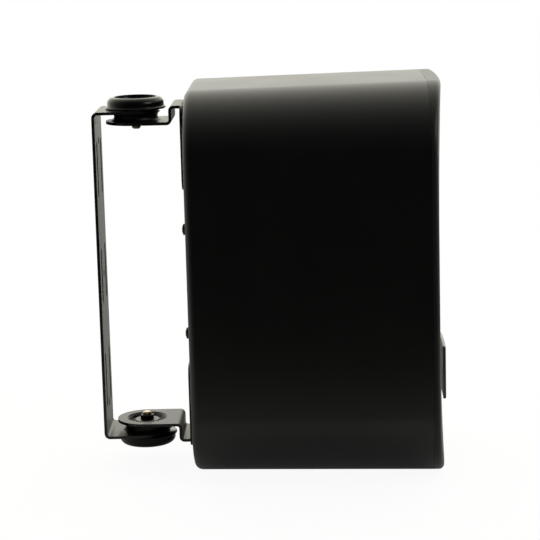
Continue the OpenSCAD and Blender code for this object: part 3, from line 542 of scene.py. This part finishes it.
def nearest_hole(point):
    """Centre of the hole that a point belongs to. Every other row is shifted by half a pitch."""
    row = round(point.z / row_step)
    shift = (row % 2) * hole_pitch / 2
    return Vector((round((point.x - shift) / hole_pitch) * hole_pitch + shift, 0, row * row_step))


print("bow at the sides in mm:", round((bow(half_width) - front_y) / mm, 2))


# %% One cell of the pattern, repeated
cell_radius = hole_pitch / math.sqrt(3)
half_corner = math.radians(30)


def hole_cell():
    """Meant as a hexagon with a hole; as it stands it comes out empty."""
    bm = bmesh.new()
    facing = Matrix.Rotation(math.radians(90), 4, "X")
    turn = Matrix.Rotation(half_corner, 4, "Z")
    bmesh.ops.create_circle(bm, cap_ends=True, segments=6, radius=cell_radius, matrix=facing @ turn)
    width = (cell_radius - hole_radius) * math.cos(half_corner)
    ring = bmesh.ops.inset_region(bm, faces=bm.faces[:], thickness=width, use_even_offset=True)
    inner = [f for f in bm.faces if f not in ring["faces"]]
    bmesh.ops.delete(bm, geom=inner, context="FACES")
    return bm


def repeated(bm, columns, rows):
    """The cell twice, staggered, and then in a grid of columns and rows."""
    twin = bmesh.ops.duplicate(bm, geom=bm.verts[:] + bm.edges[:] + bm.faces[:])
    moved = [v for v in twin["geom"] if isinstance(v, bmesh.types.BMVert)]
    bmesh.ops.translate(bm, verts=moved, vec=(hole_pitch / 2, 0, row_step))
    mesh = bpy.data.meshes.new("cells")
    bm.to_mesh(mesh)
    bm.free()
    holder = bpy.data.objects.new("cells", mesh)
    bpy.context.scene.collection.objects.link(holder)
    for count, step in ((columns, (hole_pitch, 0, 0)), (rows, (0, 0, 2 * row_step))):
        array = holder.modifiers.new("array", "ARRAY")
        array.count = count
        array.use_relative_offset = False
        array.use_constant_offset = True
        array.constant_offset_displace = step
    evaluated = holder.evaluated_get(bpy.context.evaluated_depsgraph_get())
    grid = bmesh.new()
    grid.from_mesh(evaluated.to_mesh())
    bpy.data.objects.remove(holder)
    print("cells wanted:", 2 * columns * rows, "faces made for them:", len(grid.faces))
    return grid


# %% The field of holes
field_half_width = half_width - fold_radius - bare_margin
field_half_height = half_height - fold_radius - bare_margin


def perforated_field():
    """The cells whose holes lie inside the field, welded at Y = 0. Empty as long as the cell is empty."""
    columns = 2 * math.ceil(half_width / hole_pitch) + 1
    rows = 2 * math.ceil(half_height / row_step / 2) + 1
    bm = repeated(hole_cell(), columns, rows)
    start = Vector((-(columns // 2) * hole_pitch, 0, -(rows // 2) * 2 * row_step))
    bmesh.ops.translate(bm, verts=bm.verts, vec=start)

    def outside(face):
        hole = nearest_hole(face.calc_center_median())
        _, beyond = core_offset(hole, fold_radius + bare_margin)
        return beyond > 0 or abs(hole.x) > field_half_width or abs(hole.z) > field_half_height

    bmesh.ops.delete(bm, geom=[f for f in bm.faces if outside(f)], context="FACES")
    bmesh.ops.remove_doubles(bm, verts=bm.verts, dist=hole_pitch * 0.02)
    return bm


print("field in mm:", round(2 * field_half_width / mm, 1), "x", round(2 * field_half_height / mm, 1))


# %% Outline and border of the field
corner_steps = 28
rim_step = 3 * mm
longest_edge = 4 * mm
hole_reach = hole_radius * 1.1


def outline_edges(bm):
    """A rounded rectangle of edges just inside the fold."""
    w, h = half_width - fold_radius, half_height - fold_radius
    corners = [bm.verts.new((x * w, 0, z * h)) for x, z in ((-1, -1), (1, -1), (1, 1), (-1, 1))]
    face = bm.faces.new(corners)
    bmesh.ops.bevel(bm, geom=corners, offset=corner_radius - fold_radius, segments=corner_steps,
                    profile=0.5, affect="VERTICES", material=-1)
    face = max((f for f in bm.faces if len(f.verts) > corner_steps), key=lambda f: f.calc_area())
    edges = list(face.edges)
    bmesh.ops.delete(bm, geom=[face], context="FACES_ONLY")
    straight = [e for e in edges if e.calc_length() > longest_edge]
    for edge in straight:
        bmesh.ops.subdivide_edges(bm, edges=[edge], cuts=round(edge.calc_length() / rim_step))
    return [e for e in bm.edges if not e.link_faces]


def field_border(bm):
    """Edges round the whole field, without those round the holes."""
    def at_hole(vert):
        return (vert.co - nearest_hole(vert.co)).length < hole_reach

    return [e for e in bm.edges if e.is_boundary and not all(at_hole(v) for v in e.verts)]


print("rim points at a corner:", corner_steps + 1, "and along the sides every", round(rim_step / mm, 1), "mm")


# %% Bow and fold
fold_steps = 6
fold_step = math.radians(90 / fold_steps)
rim_slack = 0.05 * mm


def grille_sheet():
    bm = perforated_field()
    border = field_border(bm)
    rim = outline_edges(bm)
    filled = bmesh.ops.triangle_fill(bm, edges=border + rim, use_beauty=True, use_dissolve=False)
    print("triangles that fill the front:", sum(isinstance(g, bmesh.types.BMFace) for g in filled["geom"]))
    bmesh.ops.recalc_face_normals(bm, faces=bm.faces)
    if sum(f.normal.y for f in bm.faces) > 0:
        bmesh.ops.reverse_faces(bm, faces=bm.faces)
    for vert in bm.verts:
        vert.co.y = bow(vert.co.x)
    # fold the rim: each ring goes further out and further back, then straight back to the seam
    ring = [e for e in bm.edges if e.is_boundary
            and all(core_offset(v.co, fold_radius)[1] > -rim_slack for v in e.verts)]
    for step in range(1, fold_steps + 2):
        made = bmesh.ops.extrude_edge_only(bm, edges=ring)["geom"]
        ring = [g for g in made if isinstance(g, bmesh.types.BMEdge) and g.is_boundary]
        verts = {v for e in ring for v in e.verts}
        angle, last = fold_step * step, fold_step * (step - 1)
        for vert in verts:
            if step <= fold_steps:
                away, _ = core_offset(vert.co, fold_radius)
                vert.co += away.normalized() * fold_radius * (math.sin(angle) - math.sin(last))
                vert.co.y += fold_radius * (math.cos(last) - math.cos(angle))
            else:
                vert.co.y = seam_y
    return bm


print("fold in steps of degrees:", round(math.degrees(fold_step)))


# %% Two thickened halves
def halves(bm):
    """Splits the sheet into an upper and a lower piece of a size that exports well, and thickens both."""
    between_rows = row_step * 0.5
    for name, keep_upper in (("grille_sheet_upper", True), ("grille_sheet_lower", False)):
        part = bm.copy()
        drop = [f for f in part.faces if (f.calc_center_median().z > between_rows) != keep_upper]
        bmesh.ops.delete(part, geom=drop, context="FACES")
        bmesh.ops.solidify(part, geom=part.faces[:], thickness=sheet)
        yield name, part
    bm.free()


grille_pieces = [add_piece(name, part, "speaker", grille_finish, 40)
                 for name, part in halves(grille_sheet())]
for piece in grille_pieces:
    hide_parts("grille")
    print(piece.name, "triangles:", sum(len(p.vertices) - 2 for p in piece.data.polygons))


# %% [markdown]
# ## Knobs and badge
# A knob is a turned form, so its profile is spun once round the pan axis: brim, rounded cap, raised rim and
# the dish inside it. The lower knob is the same form, mirrored down. The badge is a small plate that follows
# the bow of the grille.

# %% A turned form
pivot = Vector(pan_axis_mm) * mm
spin_steps = 96


def spun(points):
    """A closed turned form from (radius, height) points given in millimetres, from axis to axis."""
    bm = bmesh.new()
    verts = [bm.verts.new((pivot.x + r * mm, pivot.y, z * mm)) for r, z in points]
    edges = [bm.edges.new(pair) for pair in zip(verts, verts[1:])]
    bmesh.ops.spin(bm, geom=verts + edges, cent=pivot, axis=(0, 0, 1), angle=math.tau, steps=spin_steps,
                   use_merge=True)
    bmesh.ops.remove_doubles(bm, verts=bm.verts, dist=weld_gap)
    bmesh.ops.recalc_face_normals(bm, faces=bm.faces)
    return bm


def arc(cx, cz, radius, start, end, count):
    """Points of an arc in a profile, from the start angle to the end angle in degrees."""
    angles = [math.radians(start + (end - start) * n / (count - 1)) for n in range(count)]
    return [(cx + radius * math.cos(a), cz + radius * math.sin(a)) for a in angles]


print("the pan axis stands at Y in mm:", round(pivot.y / mm, 2))


# %% Knobs
brim_mm, brim_height_mm, brim_round_mm, underside_mm = 20.62, 1.75, 0.8, 20.62 - 0.5
cap_mm, shoulder_round_mm, foot_round_mm, foot_inset_mm = 19.5, 4.5, 0.5, 0.45
dish_mm, dish_depth_mm, rim_round_mm, rim_inset_mm = 14.8, 2.6, 0.5, 0.1
floor_round_mm, floor_inset_mm = 0.6, 1.5


def knob_profile(base, top):
    """Half section of a knob: flat underside, brim, rounded cap, and the dish inside its raised rim."""
    brim_top = base + brim_height_mm
    dish_floor = top - dish_depth_mm
    brim = arc(brim_mm - brim_round_mm, base + brim_round_mm, brim_round_mm, -60, 80, 6)
    foot = arc(cap_mm + foot_inset_mm, brim_top + foot_inset_mm, foot_round_mm, -85, -175, 5)
    shoulder = arc(cap_mm - shoulder_round_mm, top - shoulder_round_mm, shoulder_round_mm, 8, 88, 14)
    rim = arc(dish_mm - rim_inset_mm, top - rim_round_mm, rim_round_mm, 88, 190, 7)
    hollow = arc(dish_mm - floor_inset_mm, dish_floor + floor_round_mm, floor_round_mm, -10, -90, 5)
    return [(0, base), (underside_mm, base)] + brim + foot + shoulder + rim + hollow + [(0, dish_floor)]


def mirrored_down(bm):
    bmesh.ops.scale(bm, verts=bm.verts, vec=(1, 1, -1))
    bmesh.ops.recalc_face_normals(bm, faces=bm.faces)
    return bm


for side in ("upper", "lower"):
    low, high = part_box(f"{side}_knob")
    near, far = sorted((abs(low[2]) / mm, abs(high[2]) / mm))
    bm = spun(knob_profile(near, far))
    if side == "lower":
        bm = mirrored_down(bm)
    piece = add_piece(f"{side}_knob_cap", bm, f"{side}_clamp", knob_finish, 50)
    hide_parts(f"{side}_knob")
    print(piece.name, "from", round(near, 2), "to", round(far, 2), "mm")


# %% Badge plate
badge_thick = 2.0 * mm
badge_corner, badge_edge = 2.2 * mm, 0.9 * mm
badge_strips = 12


def badge_plate():
    """A plate with rounded corners and edges, cut into strips so that it can follow the bow."""
    low, high = (Vector(c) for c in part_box("grille_badge"))
    size, centre = high - low, (low + high) / 2
    bm = bmesh.new()
    bmesh.ops.create_cube(bm, size=1)
    bmesh.ops.scale(bm, verts=bm.verts, vec=(size.x, badge_thick, size.z))
    bmesh.ops.translate(bm, verts=bm.verts, vec=(centre.x, front_y - badge_thick / 2, centre.z))
    upright = [e for e in bm.edges if abs(e.verts[0].co.y - e.verts[1].co.y) > badge_thick / 2]
    bmesh.ops.bevel(bm, geom=upright, offset=badge_corner, segments=6, profile=0.5,
                    affect="EDGES", material=-1)
    front = [e for e in bm.edges if all(v.co.y < front_y - badge_thick * 0.9 for v in e.verts)]
    bmesh.ops.bevel(bm, geom=front, offset=badge_edge, segments=4, profile=0.5,
                    affect="EDGES", material=-1)
    for cut in range(1 - badge_strips // 2, badge_strips // 2):
        bmesh.ops.bisect_plane(bm, geom=bm.verts[:] + bm.edges[:] + bm.faces[:],
                               plane_co=(cut * size.x / badge_strips, 0, 0), plane_no=(1, 0, 0))
    for vert in bm.verts:
        vert.co.y += bow(vert.co.x) - front_y
    return bm


badge = add_piece("badge_plate", badge_plate(), "speaker", badge_finish, 35)
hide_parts("grille_badge")
print(badge.name, "size in mm:", [round(v / mm, 1) for v in badge.dimensions])


# %% [markdown]
# ## Studio
# The photograph has a plain white ground. A black thing shows hardly any colour of its own: what is seen of
# it is the room that it reflects. The strength of the room was worked out from the picture, where the rounded
# top edge mirrors it from the far wall, over the ceiling, to the place of the camera. It is bright beyond the
# speaker and fades to nearly black on the camera's side. To the camera itself the ground is white all round.

# %% Levels of the room
room_levels = (
    (0.00, 0.03), (0.08, 0.04), (0.18, 0.10), (0.32, 0.24),
    (0.50, 0.56), (0.66, 1.05), (0.80, 1.55), (1.00, 2.0))
room_strength = 2.0
warmth = (1.0, 0.98, 0.86)
past_speaker = {"From Min": 0.6, "From Max": 1.0, "To Max": 0.3}


def room_colour(level):
    """Grey where the room is dark, slightly warm where it is bright."""
    tint = [1 + (w - 1) * min(1, level) for w in warmth]
    return tuple(level * t / room_strength for t in tint)


print("room levels:", [level for _, level in room_levels])


# %% White ground for the camera
def ground_share(nodes_of, link, split):
    """1 for the camera; a mirror sees a share of the white ground where it looks past the speaker."""
    path = nodes_of.new("ShaderNodeLightPath")
    past = nodes_of.new("ShaderNodeMapRange")
    for key, value in past_speaker.items():
        past.inputs[key].default_value = value
    link(split.outputs["X"], past.inputs["Value"])
    total = path.outputs["Is Camera Ray"]
    for ray in ("Is Glossy Ray", "Is Transmission Ray"):
        share = nodes_of.new("ShaderNodeMath")
        share.operation = "MULTIPLY_ADD"
        link(path.outputs[ray], share.inputs[0])
        link(past.outputs[0], share.inputs[1])
        link(total, share.inputs[2])
        total = share.outputs[0]
    return total


print("largest share of the ground in a mirror:", past_speaker["To Max"])


# %% World
def add_world():
    world = bpy.data.worlds.new("studio")
    bpy.context.scene.world = world
    world.use_nodes = True
    nodes_of = world.node_tree.nodes
    link = world.node_tree.links.new
    direction = nodes_of.new("ShaderNodeTexCoord")
    split = nodes_of.new("ShaderNodeSeparateXYZ")
    link(direction.outputs["Generated"], split.inputs[0])
    place = nodes_of.new("ShaderNodeMapRange")
    place.inputs["From Min"].default_value = -1
    link(split.outputs["X"], place.inputs["Value"])
    ramp = nodes_of.new("ShaderNodeValToRGB")
    stops = ramp.color_ramp.elements
    while len(stops) < len(room_levels):
        stops.new(0.5)
    for stop, (position, level) in zip(stops, room_levels):
        stop.position = position
        stop.color = (*room_colour(level), 1)
    link(place.outputs[0], ramp.inputs[0])
    room, ground, mix = (nodes_of.new(kind) for kind in
                         ("ShaderNodeBackground", "ShaderNodeBackground", "ShaderNodeMixShader"))
    room.inputs["Strength"].default_value = room_strength
    link(ramp.outputs[0], room.inputs["Color"])
    ground.inputs["Color"].default_value = (1, 1, 1, 1)
    link(ground_share(nodes_of, link, split), mix.inputs[0])
    link(room.outputs[0], mix.inputs[1])
    link(ground.outputs[0], mix.inputs[2])
    link(mix.outputs[0], nodes_of["World Output"].inputs[0])


add_world()
bpy.context.scene.view_settings.view_transform = "Standard"
print("world:", bpy.context.scene.world.name)


# %% Floor
# The floor reaches far beyond the speaker and only a little way towards the camera, where the room is dark.
# The camera sees it nearly white, and a mirror ray hardly sees it glow.
floor_near, floor_far, floor_half, floor_middle = 0.25, 2.5, 1.6, -0.12
floor_drop = 0.5 * mm
floor_glow, seen_share, mirrored_share = 1.1, 0.85, 0.08


def add_floor():
    bm = bmesh.new()
    bmesh.ops.create_grid(bm, x_segments=1, y_segments=1, size=1)
    bmesh.ops.scale(bm, verts=bm.verts, vec=((floor_near + floor_far) / 2, floor_half, 1))
    bmesh.ops.translate(bm, verts=bm.verts, vec=(
        (floor_far - floor_near) / 2, floor_middle, cad_box[0][2] - floor_drop))
    mesh = bpy.data.meshes.new("floor")
    bm.to_mesh(mesh)
    bm.free()
    floor = bpy.data.objects.new("floor", mesh)
    bpy.context.scene.collection.objects.link(floor)
    finish = Finish("floor_white")
    finish.set(Base_Color=(0.6, 0.6, 0.6, 1), Roughness=0.9)
    glow = finish.tree.nodes.new("ShaderNodeEmission")
    glow.inputs["Strength"].default_value = floor_glow
    path = finish.tree.nodes.new("ShaderNodeLightPath")
    mix = finish.tree.nodes.new("ShaderNodeMixShader")
    seen, mirrored, through = (Socket(finish, path.outputs[ray]) for ray in
                               ("Is Camera Ray", "Is Glossy Ray", "Is Transmission Ray"))
    finish.feed(mix.inputs[0], seen * seen_share + (mirrored + through) * mirrored_share)
    finish.tree.links.new(finish.shader.outputs[0], mix.inputs[1])
    finish.tree.links.new(glow.outputs[0], mix.inputs[2])
    finish.tree.links.new(mix.outputs[0], finish.tree.nodes["Material Output"].inputs[0])
    mesh.materials.append(finish.material)
    return floor


floor = add_floor()
print("floor in metres:", [round(v, 2) for v in floor.dimensions])


# %% Lamps
def add_softbox(name, place, target, size, watts):
    data = bpy.data.lights.new(name, "AREA")
    data.shape = "RECTANGLE"
    data.size, data.size_y = size
    data.energy = watts
    lamp = bpy.data.objects.new(name, data)
    lamp.location = place
    lamp.rotation_euler = (Vector(target) - Vector(place)).to_track_quat("-Z", "Y").to_euler()
    bpy.context.scene.collection.objects.link(lamp)
    return lamp


speaker_middle = (0, -0.12, 0)
softbox = add_softbox("softbox", (-0.75, -1.5, 1.0), speaker_middle, (0.9, 0.9), 6)
print("softbox watts:", softbox.data.energy)
